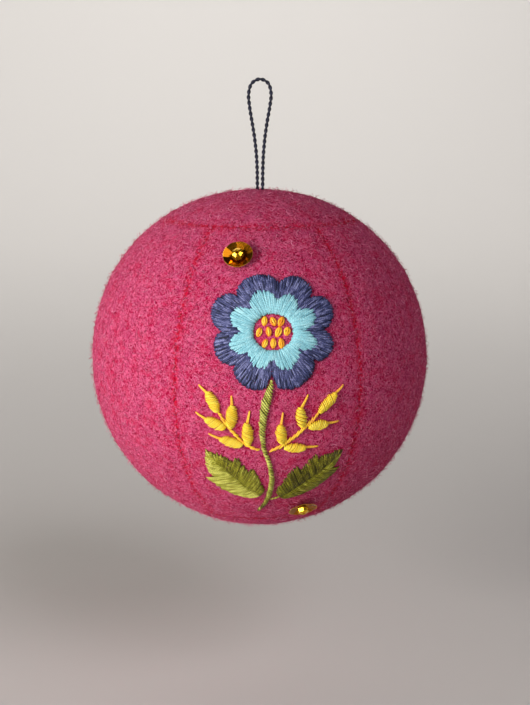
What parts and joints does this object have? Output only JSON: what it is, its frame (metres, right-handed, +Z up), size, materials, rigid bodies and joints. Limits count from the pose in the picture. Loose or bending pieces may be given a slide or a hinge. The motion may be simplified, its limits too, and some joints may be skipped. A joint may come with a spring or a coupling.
{
  "type": "embroidered felt bauble",
  "caption": "Stuffed wool felt ball of gored panels and round end caps, with a satin-stitched flower on its front, cup sequins and a hanging loop of cord.",
  "frame": {"origin": "inside the top of the hanging loop, where the twig or hook that holds it bears", "axes": "+Z up along the ball's axis, the embroidered front panel faces -Y, +X to its viewer's right"},
  "size_m": [0.0834, 0.0853, 0.111],
  "materials": {
    "felt_pink": "fulled wool, heathered",
    "thread_navy": "stranded cotton, satin stitch",
    "thread_turquoise": "stranded cotton, satin stitch",
    "thread_orange": "stranded cotton, seed stitch",
    "thread_yellow": "stranded cotton, satin stitch",
    "thread_green": "variegated stranded cotton",
    "sequin_gold": "metallised, gold",
    "bead_gold": "metallised, gold, faceted",
    "cord_navy": "twisted cotton cord"
  },
  "bodies": {
    "root": {"panel_1": "felt_pink", "panel_2": "felt_pink", "panel_3": "felt_pink", "panel_4": "felt_pink", "panel_5": "felt_pink", "panel_6": "felt_pink", "cap_top": "felt_pink", "cap_bottom": "felt_pink", "petals_navy": "thread_navy", "petals_turquoise": "thread_turquoise", "seed_01": "thread_orange", "seed_02": "thread_orange", "seed_03": "thread_orange", "seed_04": "thread_orange", "seed_05": "thread_orange", "seed_06": "thread_orange", "seed_07": "thread_orange", "seed_08": "thread_orange", "seed_09": "thread_orange", "seed_10": "thread_orange", "stem": "thread_green", "stalk_left": "thread_yellow", "stalk_right": "thread_yellow", "bud_left_1": "thread_yellow", "bud_left_2": "thread_yellow", "bud_left_3": "thread_yellow", "bud_left_4": "thread_yellow", "bud_left_5": "thread_yellow", "bud_right_1": "thread_yellow", "bud_right_2": "thread_yellow", "bud_right_3": "thread_yellow", "bud_right_4": "thread_yellow", "bud_right_5": "thread_yellow", "leaf_left": "thread_green", "leaf_right": "thread_green", "leaf_stalk": "thread_green", "sequin_upper": "sequin_gold", "sequin_lower": "sequin_gold", "bead_upper": "bead_gold", "bead_lower": "bead_gold", "hanging_loop": "cord_navy"}
  },
  "joints": []
}
